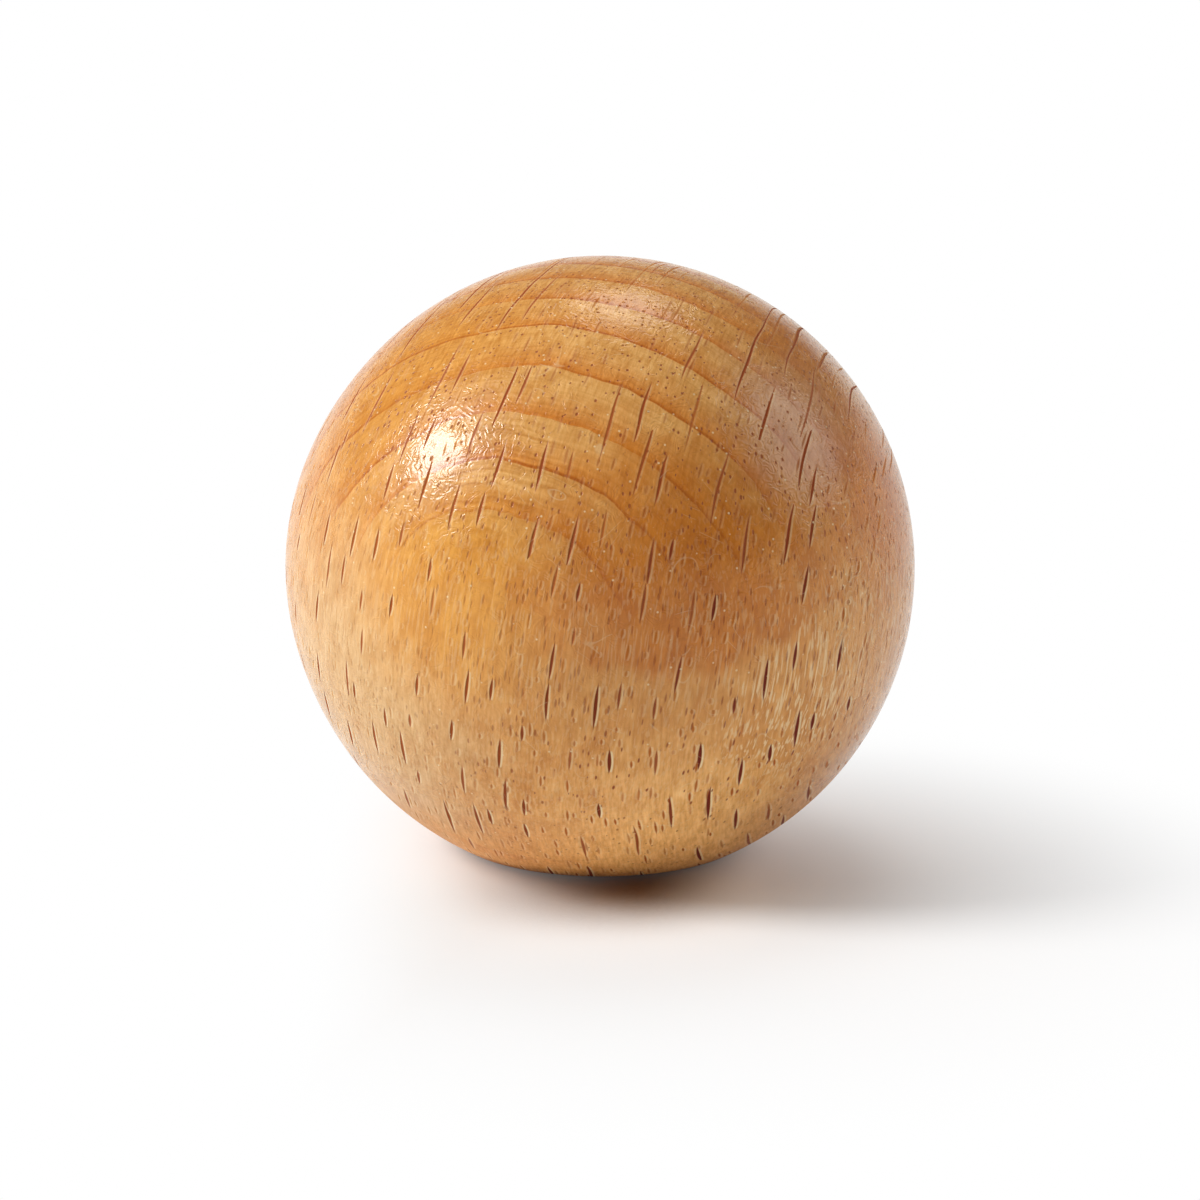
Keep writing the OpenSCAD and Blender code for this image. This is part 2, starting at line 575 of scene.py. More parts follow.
class CoatEffects:
    """The node groups of coats and of what lies on them. Lengths are in millimetres."""

    def __init__(self) -> None:
        """Builds the groups."""
        self.ripple = self._ripple()
        self.specks = self._specks()
        self.smears = self._smears()

    def _ripple(self) -> Group:
        """The fine worm-like ripple that a coat shows as it dries.

        Returns:
            The group, which gives the ripple's height from -1 to 1.
        """
        folds = 26.0
        group = EffectGroup("coat_ripple", {"Wavelength": 0.2}, ("Height",))
        g, given = group.graph, group.given
        scaled = g.scaled(given["Place"], g.over(1.0, given["Wavelength"]))
        worm = g.noise(scaled, scale=0.42, detail=0.0, distortion=0.6)
        patch = g.remap(g.noise(scaled, scale=0.12, detail=1.0), 0.3, 0.6, 0.4, 1.0)
        return group.put(Height=g.times(g.math("SINE", g.times(worm, folds)), patch))

    def _specks(self) -> Group:
        """Tiny scattered specks, such as dust that dried into a coat.

        Returns:
            The group, which gives the specks.
        """
        group = EffectGroup("specks", {"Spacing": 0.6, "Radius": 0.05, "Share": 0.5}, ("Mask",))
        g, given = group.graph, group.given
        cell = g.cells(g.scaled(given["Place"], g.over(1.0, given["Spacing"])))
        chance, _, _ = g.chances(cell)
        radius = g.over(given["Radius"], given["Spacing"])
        mask = g.remap(g.over(cell.outputs["Distance"], radius), 0.5, 1.2, 1.0, 0.0)
        return group.put(Mask=g.times(mask, g.math("LESS_THAN", chance, given["Share"])))

    def _smears(self) -> Group:
        """Soft smears of handling, and hair-thin curved scratches.

        Returns:
            The group, which gives the smears and the scratches.
        """
        bends, fade_in = 9.0, 0.06
        group = EffectGroup("smears", {"Size": 5.0, "Thickness": 0.05, "Sparse": 0.56},
                            ("Film", "Scratch"))
        g, given = group.graph, group.given
        scaled = g.scaled(given["Place"], g.over(1.0, given["Size"]))
        film = g.noise(scaled, detail=3.0, distortion=0.6)
        bend = g.noise(scaled, scale=1.7, detail=0.0, distortion=0.3)
        hair = g.math("ABSOLUTE", g.minus(g.math("FRACT", g.times(bend, bends)), 0.5))
        kept = g.remap(g.noise(scaled, scale=3.1, detail=1.0), given["Sparse"],
                       g.plus(given["Sparse"], fade_in))
        scratch = g.times(g.remap(hair, 0.0, given["Thickness"], 1.0, 0.0), kept)
        return group.put(Film=g.remap(film, 0.3, 0.7), Scratch=scratch)


@dataclass(frozen=True)
class Patch:
    """A soft patch on the knob, in millimetres in its own frame.

    Attributes:
        centre: The middle of the patch.
        reach: How far it reaches.
        strength: How much of it shows, from 0 to 1.
        ragged: How uneven its edge is.
        edge: Share of the reach where the patch starts to fade.
    """

    centre: Point
    reach: float
    strength: float
    ragged: float = 0.6
    edge: float = 0.25

    def mask(self, graph: Graph, group: Group) -> Socket:
        """Places the soft patch group.

        Args:
            graph: The graph that it goes into.
            group: The soft patch group.

        Returns:
            How much of the patch shows at a point.
        """
        shown = graph.use(group, Place=graph.place_mm(), Centre=self.centre, Reach=self.reach,
                          Ragged=self.ragged, Edge=self.edge)
        return graph.times(shown["Mask"], self.strength)


class Spot(Enum):
    """Where on the ball the wood, or the lacquer on it, differs from the rest, and where painted
    shade and a painted sheen lie.
    """

    PALE = Patch((-13.0, -9.0, 8.5), 11.5, 0.9)
    HONEY = Patch((-6.8, -12.9, 15.2), 6.8, 0.8)
    AMBER = Patch((-9.7, -3.9, 24.0), 10.0, 0.7)
    BROWN = Patch((4.0, -13.5, 16.0), 9.5, 0.9)
    BROWN_LIMIT = Patch((3.0, -12.0, 32.0), 21.0, 1.0, 0.12, 0.92)
    # RIM and TOP are painted shade on the ball's right and upper right; HAZE is a painted sheen.
    RIM = Patch((12.9, -6.0, 18.5), 6.8, 0.85)
    TOP = Patch((9.0, -3.3, 25.2), 4.8, 0.7)
    HAZE = Patch((9.0, -8.1, 22.1), 5.5, 0.4)
    STRAW = Patch((3.0, -11.0, 2.0), 9.0, 0.85)
    LAYERED = Patch((-4.9, -12.1, 20.6), 4.0, 1.0)
    GLEAM = Patch((8.8, -11.6, 9.6), 5.2, 1.0)
    SCUFF = Patch((12.4, -8.0, 12.6), 6.5, 0.9)


@dataclass(frozen=True)
class GrainPlan:
    """Sizes of the grain's parts and where on the ball they change. Lengths in millimetres.

    Attributes:
        end_grain: Rise of the surface's normal from side grain to end grain.
        foot: Heights where the foot's coarse grain is full and where it ends.
        crown: Heights where the crown's coarse grain starts and where it is full.
        marks_left: Places, from left to right, where marks are faint and where full.
        rings_right: Places where the rings are full and where faint.
        rings_up: Rise of the normal where the rings start to show and where they do.
        rings_down: Rise of the normal, under the ball, where the rings end and start.
        ray_height: Height of a ray fleck on side grain and on end grain.
        ray_thick: Thickness of a ray fleck above the foot and in it.
        mark_cell: Room round the tree and along it for each small mark.
        mark_size: Height and thickness of a small mark.
        mark_share: Share of the small marks that show above the foot and in it.
        pore_radius: Radius of a vessel.
        pore_share: Share of the vessels that show on side grain above the foot, on side
            grain in the foot, and on end grain.
        speck_room: Room for each speck.
        speck_radius: Radius of a speck.
        speck_share: Share of the specks that show on side grain and on end grain.
        scuff_cell: Width and length of a cell of scuffs.
    """

    end_grain: Span = (0.05, 0.6)
    foot: Span = (6.0, 13.0)
    crown: Span = (21.0, 27.0)
    marks_left: Span = (-12.0, 1.0)
    rings_right: Span = (4.5, 10.0)
    rings_up: Span = (0.0, 0.5)
    rings_down: Span = (-0.9, -0.6)
    ray_height: Span = (1.6, 2.3)
    ray_thick: Span = (0.09, 0.11)
    mark_cell: Span = (0.5, 0.9)
    mark_size: Span = (0.6, 0.085)
    mark_share: Span = (0.42, 0.6)
    pore_radius: float = 0.06
    pore_share: Point = (0.9, 0.22, 0.4)
    speck_room: float = 0.5
    speck_radius: float = 0.06
    speck_share: Span = (0.3, 0.8)
    scuff_cell: Span = (1.0, 2.5)


class BallPatterns:
    """The patterns of the wood and the coat, placed as the outside of the ball shows them.

    Each of them is a socket of one graph, or a set of sockets that are read by name.

    Attributes:
        graph: The graph.
        side: How far right of the knob's axis a point lies, in millimetres.
        height: Its height above the seat, in millimetres.
        up: Rise of the surface's normal along the tree.
        end: 1 on end grain and 0 on side grain.
        low: 1 in the ball's foot and 0 above it.
        spots: How much shows of each spot.
        torn: The spot where the fibres are torn.
        ribboned: 1 where the surface is cut along the rays.
        clear: How clearly the rings show.
        busy: How coarse the fibres look.
        marked: How strongly the small marks show, more towards the foot and the right as painted
            shade.
        rings: The growth rings.
        fibres: The fibres.
        fleck: The ray flecks.
        fleck_side_glint: The pale bands at their sides, fuller on the right as a painted highlight.
        mark: The small marks between them.
        pore: The open vessels.
        speck: The specks in the lacquer.
        smears: The smears and scratches on it.
        scuffs: The scuffs of the torn spot, laid on pale as a painted reflection.
        ripple: Height of the lacquer's ripple.
    """

    def __init__(self, g: Graph, wood: WoodEffects, coat: CoatEffects, plan: GrainPlan) -> None:
        """Places the patterns.

        Args:
            g: The graph that they go into.
            wood: The wood's node groups.
            coat: The coat's node groups.
            plan: The sizes and the spans of the grain.
        """
        self.graph = g
        place, facing = wood.tree.place(g), wood.tree.facing(g)
        _, _, self.up = g.split(facing)
        self.side, _, self.height = g.split(g.place_mm())
        self.spots = {spot: spot.value.mask(g, wood.patch) for spot in Spot}
        self.torn = self.spots[Spot.SCUFF]
        self.end = g.remap(self.up, *plan.end_grain)
        self.low = g.remap(self.height, *plan.foot, 1.0, 0.0)
        self.ribboned = wood.tree.along_rays(g, place, facing)
        crossed = g.minus(1.0, self.ribboned)
        # Painted shade: the small marks and open pores darken towards the foot and the right,
        # standing in for the shade in their sunken relief.
        faint = g.remap(self.side, *plan.marks_left, 0.35, 1.0)
        self.marked = g.times(g.between(self.low, 0.5, 1.0), faint)
        self.busy = g.most(g.times(g.most(self.low, self.spots[Spot.GLEAM]), faint),
                           g.remap(self.height, *plan.crown))
        clear = g.most(g.remap(self.up, *plan.rings_up, 0.12, 1.0),
                       g.remap(self.up, *plan.rings_down, 0.5, 0.0))
        self.clear = g.times(clear, g.remap(self.side, *plan.rings_right, 1.0, 0.4))
        self.rings = g.use(wood.rings, Place=place)
        self.fibres = g.use(wood.fibres, Place=place)
        rays = g.use(wood.rays, Place=place, Height=g.between(self.end, *plan.ray_height),
                     Thickness=g.between(self.low, *plan.ray_thick))
        (room, rise), (height, thick) = plan.mark_cell, plan.mark_size
        small = g.use(wood.rays, Place=place, Spacing=room, Rise=rise, Height=height,
                      Thickness=thick,
                      Share=g.most(g.between(self.low, *plan.mark_share), self.torn))
        self.fleck = g.times(rays["Mask"], crossed)
        self.mark = g.times(small["Mask"], crossed)
        # Painted highlight: the pale bands beside the flecks, stronger in the foot than above it.
        sides = g.most(rays["Side"], g.times(small["Side"], g.between(self.torn, 0.5, 1.0)))
        shown = g.between(self.end, g.between(self.low, 0.6, 1.0), 0.25)
        self.fleck_side_glint = g.times(sides, crossed, shown)
        above, foot, on_end = plan.pore_share
        self.pore = g.use(wood.vessels, Place=place, Radius=plan.pore_radius, Share=g.between(
            self.end, g.between(self.low, above, foot), on_end))["Mask"]
        self.speck = g.use(
            coat.specks, Place=g.place_mm(), Spacing=plan.speck_room, Radius=plan.speck_radius,
            Share=g.between(self.end, *plan.speck_share))["Mask"]
        self.smears = g.use(coat.smears, Place=g.place_mm())
        self.scuffs = g.use(coat.smears, Place=g.stretch(place, *plan.scuff_cell), Size=1.6,
                            Thickness=0.28, Sparse=0.5)["Scratch"]
        self.ripple = g.use(coat.ripple, Place=g.place_mm())["Height"]


@dataclass(frozen=True)
class LacqueredWood:
    """Clear-lacquered, turned beech.

    Attributes:
        early: Colour of the pale early wood.
        late: Colour of the darker late wood.
        line: Colour of the thin line at a ring's end.
        pale: Colour of the palest side grain.
        honey: Colour where the lacquer lies thick and yellow.
        amber: Colour where the lacquer lies thick on end grain.
        straw: Colour of the pale grain near the seat.
        haze: Colour of the painted sheen on the upper right, a pale pink standing in for a panel's
            reflection.
        flake: Colour of the rays where the cut runs along them.
        brown: Colour where the wood took up more lacquer, and of the painted shade on the ball's
            right.
        gleam: Colour of the bright fibre streaks, partly the grain's figure and partly a painted
            highlight.
        end_ray: Colour of the ray flecks on end grain.
        side_ray: Colour of the ray flecks on side grain.
        side_mark: Colour of the small marks on side grain.
        end_mark: Colour of the soft edge of a ray fleck on end grain.
        vessel: Colour of the open vessels.
        speck: Colour of the specks in the lacquer, also of its scratches, and of the painted
            highlight beside the flecks.
        roughness: Least and greatest roughness of the lacquer.
        open_roughness: Roughness of the open grain and of the wood at the seat.
        specular: Level of the lacquer's reflection.
        pit_depth: Depth of a sunken ray or vessel, in millimetres.
        ripple_depth: Half height of the lacquer's ripple, in millimetres.
        plan: The sizes and the spans of the grain.
    """

    early: Colour = (0.78, 0.39, 0.11)
    late: Colour = (0.68, 0.225, 0.032)
    line: Colour = (0.48, 0.12, 0.012)
    pale: Colour = (0.79, 0.495, 0.225)
    honey: Colour = (0.81, 0.355, 0.055)
    amber: Colour = (0.70, 0.285, 0.04)
    straw: Colour = (0.93, 0.505, 0.16)
    haze: Colour = (0.58, 0.30, 0.21)
    flake: Colour = (0.62, 0.24, 0.05)
    brown: Colour = (0.64, 0.195, 0.016)
    gleam: Colour = (0.92, 0.62, 0.31)
    end_ray: Colour = (0.32, 0.055, 0.004)
    side_ray: Colour = (0.17, 0.013, 0.0)
    side_mark: Colour = (0.42, 0.095, 0.006)
    end_mark: Colour = (0.54, 0.15, 0.018)
    vessel: Colour = (0.30, 0.05, 0.0)
    speck: Colour = (0.95, 0.76, 0.44)
    roughness: Span = (0.15, 0.2)
    open_roughness: float = 0.9
    specular: float = 0.36
    pit_depth: float = 0.05
    ripple_depth: float = 0.0043
    plan: GrainPlan = GrainPlan()

    def build(self, wood: WoodEffects, coat: CoatEffects) -> Material:
        """Builds the material.

        Args:
            wood: The wood's node groups.
            coat: The coat's node groups.

        Returns:
            The finished material.
        """
        material, g, shader = new_material("lacquered_wood")
        seen = BallPatterns(g, wood, coat, self.plan)
        colour = self._opened(seen, self._grained(seen, self._ground(seen)))
        g.feed(shader.inputs["Base Color"], colour)
        g.feed(shader.inputs["Roughness"], self._gloss(seen))
        g.feed(shader.inputs["Normal"], self._relief(seen))
        shader.inputs["Specular IOR Level"].default_value = self.specular
        return material

    def _ground(self, seen: BallPatterns) -> Socket:
        """Mixes the colour of the rings and of the broad patches over them, among them painted
        shade and a painted sheen.

        Args:
            seen: The patterns on the ball.

        Returns:
            The colour.
        """
        g, spots = seen.graph, seen.spots
        ground = g.blend(g.between(seen.clear, 0.3, seen.rings["Tone"]), self.early, self.late)
        return g.painted(
            ground, (spots[Spot.PALE], self.pale), (spots[Spot.HONEY], self.honey),
            (spots[Spot.AMBER], self.amber),
            (g.times(spots[Spot.BROWN], spots[Spot.BROWN_LIMIT]), self.brown),
            # Painted shade: the RIM and TOP spots darken the ball's right side and upper right.
            (spots[Spot.RIM], self.brown), (spots[Spot.TOP], self.brown),
            # Painted sheen: the HAZE spot lays a pale pink over the upper right, in place of the
            # right panel's reflection.
            (spots[Spot.HAZE], self.haze), (spots[Spot.STRAW], self.straw),
            (g.times(seen.rings["Line"], 0.75, seen.clear), self.line))

    def _grained(self, seen: BallPatterns, colour: Socket) -> Socket:
        """Shades the fibres, the figure and the layers of a ring into a colour.

        Args:
            seen: The patterns on the ball.
            colour: The colour under them.

        Returns:
            The shaded colour.
        """
        g, spots, fibres = seen.graph, seen.spots, seen.fibres
        grain = g.remap(fibres["Fine"], 0.25, 0.75, g.between(seen.busy, 0.84, 0.68),
                        g.between(seen.busy, 1.14, 1.28), smooth=False)
        layered = g.times(g.minus(seen.rings["Layers"], 0.5), seen.clear)
        layered = g.math("MULTIPLY_ADD", layered, g.plus(spots[Spot.LAYERED], 0.5), 1.0)
        colour = g.shade(colour, grain, g.remap(fibres["Mottle"], 0.3, 0.7, 0.86, 1.10),
                         g.remap(fibres["Slow"], 0.3, 0.7, 0.93, 1.05), layered)
        # Partly painted highlight: pale fibre streaks, full in the GLEAM spot at the lower right
        # and faint over the rest of the side grain.
        gleam = g.times(g.remap(fibres["Figure"], 0.53, 0.65),
                        g.plus(spots[Spot.GLEAM], g.between(seen.end, 0.25, 0.05)))
        return g.painted(colour, (gleam, self.gleam),
                         (g.times(fibres["Flake"], seen.ribboned, 0.45), self.flake))

    def _opened(self, seen: BallPatterns, colour: Socket) -> Socket:
        """Lays the vessels, the ray flecks and what lies in the lacquer over a colour, with a
        painted highlight beside the flecks, painted shade in them and a painted reflection in the
        scuffs.

        Args:
            seen: The patterns on the ball.
            colour: The colour under them.

        Returns:
            The finished colour.
        """
        g, end, fleck = seen.graph, seen.end, seen.fleck
        cut = g.times(seen.marked, g.remap(seen.up, -0.7, -0.35, 0.5, 1.0))
        # Painted shade: the flecks darken from left to right, standing in for the shade in their
        # sunken relief.
        deep = g.times(g.remap(fleck, 0.3, 0.85), g.remap(seen.side, -11.0, 5.0, 0.2, 1.0))
        return g.painted(
            # Painted highlight: the pale bands beside the flecks, in the specks' colour.
            colour, (seen.fleck_side_glint, self.speck),
            (g.times(seen.pore, g.between(end, cut, 0.85)), self.vessel),
            (g.times(seen.mark, g.most(seen.marked, seen.torn)),
             g.blend(end, self.side_mark, self.end_ray)),
            (g.remap(fleck, 0.0, 0.6), g.blend(end, self.side_mark, self.end_mark)),
            (g.most(deep, g.times(fleck, end)), g.blend(end, self.side_ray, self.end_ray)),
            (g.times(seen.speck, 0.7), self.speck),
            (g.times(seen.smears["Scratch"], 0.25), self.speck),
            # Partly painted reflection: the torn spot's curved scratches are laid on pale, where
            # the lacquer's ripple would catch the light.
            (g.times(seen.scuffs, seen.torn, 0.35), self.speck))

    def _gloss(self, seen: BallPatterns) -> Socket:
        """Mixes the roughness: glossy lacquer, and matt where the grain is open.

        Args:
            seen: The patterns on the ball.

        Returns:
            The roughness.
        """
        g = seen.graph
        sharp, dull = self.roughness
        matt = g.most(seen.fleck, seen.mark, g.times(seen.pore, 0.6),
                      g.remap(seen.height, 1.5, 6.0, 0.5, 0.0))
        lacquer = g.between(seen.smears["Film"], sharp, dull)
        return g.between(matt, lacquer, self.open_roughness)

    def _relief(self, seen: BallPatterns) -> Socket:
        """Lays the lacquer's ripple over the sunken grain and the worn fibres.

        Args:
            seen: The patterns on the ball.

        Returns:
            The normal.
        """
        g = seen.graph
        sunk = g.most(g.times(seen.fleck, g.between(seen.end, 1.0, 0.25)),
                      g.times(seen.pore, 0.3), g.times(seen.mark, seen.torn))
        worn = g.most(g.times(seen.spots[Spot.GLEAM], 0.5), seen.torn)
        sunk = g.math("MULTIPLY_ADD", seen.fibres["Fine"], worn, sunk)
        pits = g.bump(g.times(sunk, -1.0), self.pit_depth)
        return g.bump(seen.ripple, self.ripple_depth, under=pits)


@dataclass(frozen=True)
class BoredWood:
    """Bare beech, where the hole was bored.

    Attributes:
        early: Colour of the early wood.
        late: Colour of the late wood.
        vessel: Colour of the open vessels and rays.
        dust: Colour of the boring's dust.
        roughness: Roughness of the cut.
        torn: Height of the torn fibre, in millimetres.
    """

    early: Colour = (0.60, 0.40, 0.22)
    late: Colour = (0.46, 0.27, 0.13)
    vessel: Colour = (0.24, 0.12, 0.05)
    dust: Colour = (0.75, 0.58, 0.38)
    roughness: float = 0.75
    torn: float = 0.05

    def build(self, wood: WoodEffects, coat: CoatEffects) -> Material:
        """Builds the material.

        Args:
            wood: The wood's node groups.
            coat: The coat's node groups.

        Returns:
            The finished material.
        """
        material, g, shader = new_material("bored_wood")
        place = wood.tree.place(g)
        rings = g.use(wood.rings, Place=place)
        pores = g.use(wood.vessels, Place=place)
        rays = g.use(wood.rays, Place=place)
        fine = g.use(wood.fibres, Place=place)["Fine"]
        dust = g.use(coat.specks, Place=g.place_mm(), Spacing=0.4, Share=0.7)
        colour = g.blend(rings["Tone"], self.early, self.late)
        colour = g.shade(colour, g.remap(fine, 0.25, 0.75, 0.85, 1.1, smooth=False))
        dark = g.most(rays["Mask"], g.times(pores["Mask"], 0.5))
        colour = g.painted(colour, (g.times(dark, 0.7), self.vessel),
                           (g.times(dust["Mask"], 0.6), self.dust))
        g.feed(shader.inputs["Base Color"], colour)
        g.feed(shader.inputs["Roughness"], self.roughness)
        g.feed(shader.inputs["Normal"], g.bump(fine, self.torn))
        return material


class Plating(Enum):
    """Colours that a zinc plate may be passivated to."""

    BRIGHT = (0.66, 0.67, 0.69)
    BLUE = (0.55, 0.60, 0.68)


@dataclass(frozen=True)
class ZincPlate:
    """Zinc-plated, turned steel.

    Attributes:
        plate: Colour of the plate.
        mottle: Colour that the plate drifts to in patches.
        dull: Colour of the white bloom on it.
        roughness: Least and greatest roughness.
        bloom_roughness: Roughness that the bloom adds.
        turning_pitch: Distance between the tool's marks, in millimetres.
        turning_depth: Height of those marks, in millimetres.
        scratch_depth: Depth of a scratch, in heights of those marks.
    """

    plate: Plating = Plating.BRIGHT
    mottle: Plating = Plating.BLUE
    dull: Colour = (0.74, 0.74, 0.73)
    roughness: Span = (0.22, 0.42)
    bloom_roughness: float = 0.3
    turning_pitch: float = 0.12
    turning_depth: float = 0.004
    scratch_depth: float = 2.0

    def build(self, coat: CoatEffects) -> Material:
        """Builds the material.

        Args:
            coat: The coat's node groups.

        Returns:
            The finished material.
        """
        material, g, shader = new_material("zinc_plated_steel")
        at = g.place_mm()
        smears = g.use(coat.smears, Place=at, Size=2.6)
        bloom = g.use(coat.specks, Place=at, Spacing=0.35, Radius=0.04, Share=0.3)["Mask"]
        colour = g.blend(smears["Film"], self.plate.value, self.mottle.value)
        g.feed(shader.inputs["Base Color"], g.painted(colour, (g.times(bloom, 0.7), self.dull)))
        shader.inputs["Metallic"].default_value = 1.0
        rough = g.between(smears["Film"], *self.roughness)
        g.feed(shader.inputs["Roughness"],
               g.math("MULTIPLY_ADD", bloom, self.bloom_roughness, rough))
        x, y, z = g.split(at)
        feed = g.times(g.plus(g.radius(x, y), z), FULL_TURN / self.turning_pitch)
        marks = g.plus(g.math("SINE", feed), g.times(smears["Scratch"], -self.scratch_depth))
        g.feed(shader.inputs["Normal"], g.bump(marks, self.turning_depth))
        return material


def new_material(name: str) -> tuple[Material, Graph, Node]:
    """Starts a material.

    Args:
        name: The material's name.

    Returns:
        The material, its graph, and its Principled shader, already linked.
    """
    material = bpy.data.materials.new(name)
    material.use_nodes = True
    material.node_tree.nodes.clear()
    graph = Graph(material.node_tree)
    shader = graph.node("ShaderNodeBsdfPrincipled")
    graph.node("ShaderNodeOutputMaterial", {"Surface": shader.outputs[0]})
    return material, graph, shader


# ------------------------------------------------------------------ the bench


class Pick(Enum):
    """What is selected in edit mode."""

    VERTICES = "VERT"
    EDGES = "EDGE"
    FACES = "FACE"


def take(piece: Piece) -> None:
    """Makes one piece the selected and active object.

    Args:
        piece: The object.
    """
    bpy.ops.object.select_all(action="DESELECT")
    piece.select_set(True)
    bpy.context.view_layer.objects.active = piece


@contextmanager
def shaping(piece: Piece) -> Iterator[None]:
    """Opens one piece in edit mode with nothing selected, and closes it afterwards.

    Args:
        piece: The mesh object to shape.
    """
    take(piece)
    bpy.ops.object.mode_set(mode="EDIT")
    bpy.ops.mesh.select_all(action="DESELECT")
    yield
    bpy.ops.object.mode_set(mode="OBJECT")


def pick(piece: Piece, kind: Pick, test: Test) -> None:
    """Selects the elements whose every corner passes a test, and nothing else.

    Args:
        piece: The object that is open in edit mode.
        kind: What is selected.
        test: Says whether a corner at a place in millimetres is wanted.
    """
    bpy.ops.mesh.select_mode(type=kind.value)
    bpy.ops.mesh.select_all(action="DESELECT")
    mesh = bmesh.from_edit_mesh(piece.data)
    for vertex in mesh.verts:
        if kind is Pick.VERTICES:
            vertex.select_set(test(vertex.co / MM))
    if kind is not Pick.VERTICES:
        for element in (mesh.edges if kind is Pick.EDGES else mesh.faces):
            element.select_set(all(test(vertex.co / MM) for vertex in element.verts))
    mesh.select_flush_mode()
    bmesh.update_edit_mesh(piece.data)


def radius_of(point: Vector) -> float:
    """Returns a point's distance from the knob's axis."""
    return math.hypot(point.x, point.y)


def started(name: str) -> Piece:
    """Names the primitive that was just added and puts its place into its mesh.

    Args:
        name: The name of the object and of its mesh.

    Returns:
        The object.
    """
    piece = bpy.context.object
    piece.name = name
    piece.data.name = name
    bpy.ops.object.transform_apply(location=True, rotation=True, scale=True)
    return piece


def rod(name: str, sides: int, radius: float, low: float, high: float) -> Piece:
    """Adds an upright rod. Lengths are in millimetres.

    Args:
        name: The object's name.
        sides: How many sides it has.
        radius: Radius over its corners.
        low: Height of its foot.
        high: Height of its top.

    Returns:
        The rod.
    """
    bpy.ops.mesh.primitive_cylinder_add(
        vertices=sides, radius=radius * MM, depth=(high - low) * MM,
        location=(0, 0, (low + high) / 2 * MM))
    return started(name)


def tidied(piece: Piece) -> Piece:
    """Merges a mesh's doubles, turns its faces outwards and shades it smooth.

    Args:
        piece: The mesh object.

    Returns:
        The same object.
    """
    with shaping(piece):
        bpy.ops.mesh.select_all(action="SELECT")
        bpy.ops.mesh.remove_doubles(threshold=MERGED * MM)
        bpy.ops.mesh.normals_make_consistent(inside=False)
    bpy.ops.object.shade_smooth_by_angle(angle=SMOOTH_UP_TO)
    return piece


def applied(piece: Piece, modifier: bpy.types.Modifier) -> Piece:
    """Applies a modifier to its piece.

    Args:
        piece: The mesh object.
        modifier: The modifier on it.

    Returns:
        The same object.
    """
    take(piece)
    bpy.ops.object.modifier_apply(modifier=modifier.name)
    return piece


class Joinery(Enum):
    """How a tool's shape changes a piece."""

    CUT = "DIFFERENCE"
    ADD = "UNION"
    KEEP = "INTERSECT"


def worked(piece: Piece, tool: Piece, how: Joinery) -> Piece:
    """Cuts, adds or keeps a tool's shape in a piece, and takes the tool away.

    Args:
        piece: The piece that is worked.
        tool: The closed shape that works it.
        how: What is done with the shape.

    Returns:
        The worked piece.
    """
    modifier = piece.modifiers.new(how.name.lower(), "BOOLEAN")
    modifier.operation = how.value
    modifier.solver = "EXACT"
    modifier.object = tool
    applied(piece, modifier)
    bpy.data.objects.remove(tool, do_unlink=True)
    return piece


@dataclass(frozen=True)
class HelicalThread:
    """A closed helical ridge with a straight-sided section. Lengths in millimetres.

    Attributes:
        inner: Radius of its buried root.
        outer: Radius of its crest.
        root: Width of the root.
        crest: Width of the crest.
        pitch: Rise in one turn.
        start: Height of the section's middle at the first turn.
        turns: Whole turns.
        steps: Steps in one turn.
    """

    inner: float
    outer: float
    root: float
    crest: float
    pitch: float
    start: float
    turns: int
    steps: int = 48

    def build(self, name: str) -> Piece:
        """Sweeps the section up a right-hand helix.

        Args:
            name: The object's name.

        Returns:
            The closed ridge.
        """
        deep = (self.outer - self.inner) * MM
        middle = ((self.outer + self.inner) / 2 * MM, 0, self.start * MM)
        bpy.ops.mesh.primitive_plane_add(size=deep, location=middle, rotation=(math.pi / 2, 0, 0))
        ridge = started(name)
        with shaping(ridge):
            for width, side in ((self.root, -1), (self.crest, 1)):
                pick(ridge, Pick.VERTICES, lambda p, side=side: (p.x * MM - middle[0]) * side > 0)
                bpy.ops.transform.resize(value=(1, 1, width * MM / deep), center_override=middle)
            bpy.ops.mesh.select_all(action="SELECT")
            bpy.ops.mesh.delete(type="ONLY_FACE")
        sweep = ridge.modifiers.new("sweep", "SCREW")
        sweep.angle = FULL_TURN
        sweep.screw_offset = self.pitch * MM
        sweep.iterations = self.turns
        sweep.steps = self.steps
        sweep.render_steps = self.steps
        applied(ridge, sweep)
        with shaping(ridge):
            bpy.ops.mesh.select_mode(type="EDGE")
            bpy.ops.mesh.select_non_manifold()
            bpy.ops.mesh.fill_holes(sides=4)
        return tidied(ridge)


# ----------------------------------------------------------------- the pieces


class Unevenness(Enum):
    """Where the sander pushed the ball: bearing and rise in degrees, push and spread in mm."""

    UPPER_LEFT = (-50, 52, -0.10, 12.0)
    LEFT = (-88, 4, 0.16, 10.0)
    UPPER_RIGHT = (70, 42, 0.07, 12.0)
    BACK = (170, 30, -0.06, 12.0)


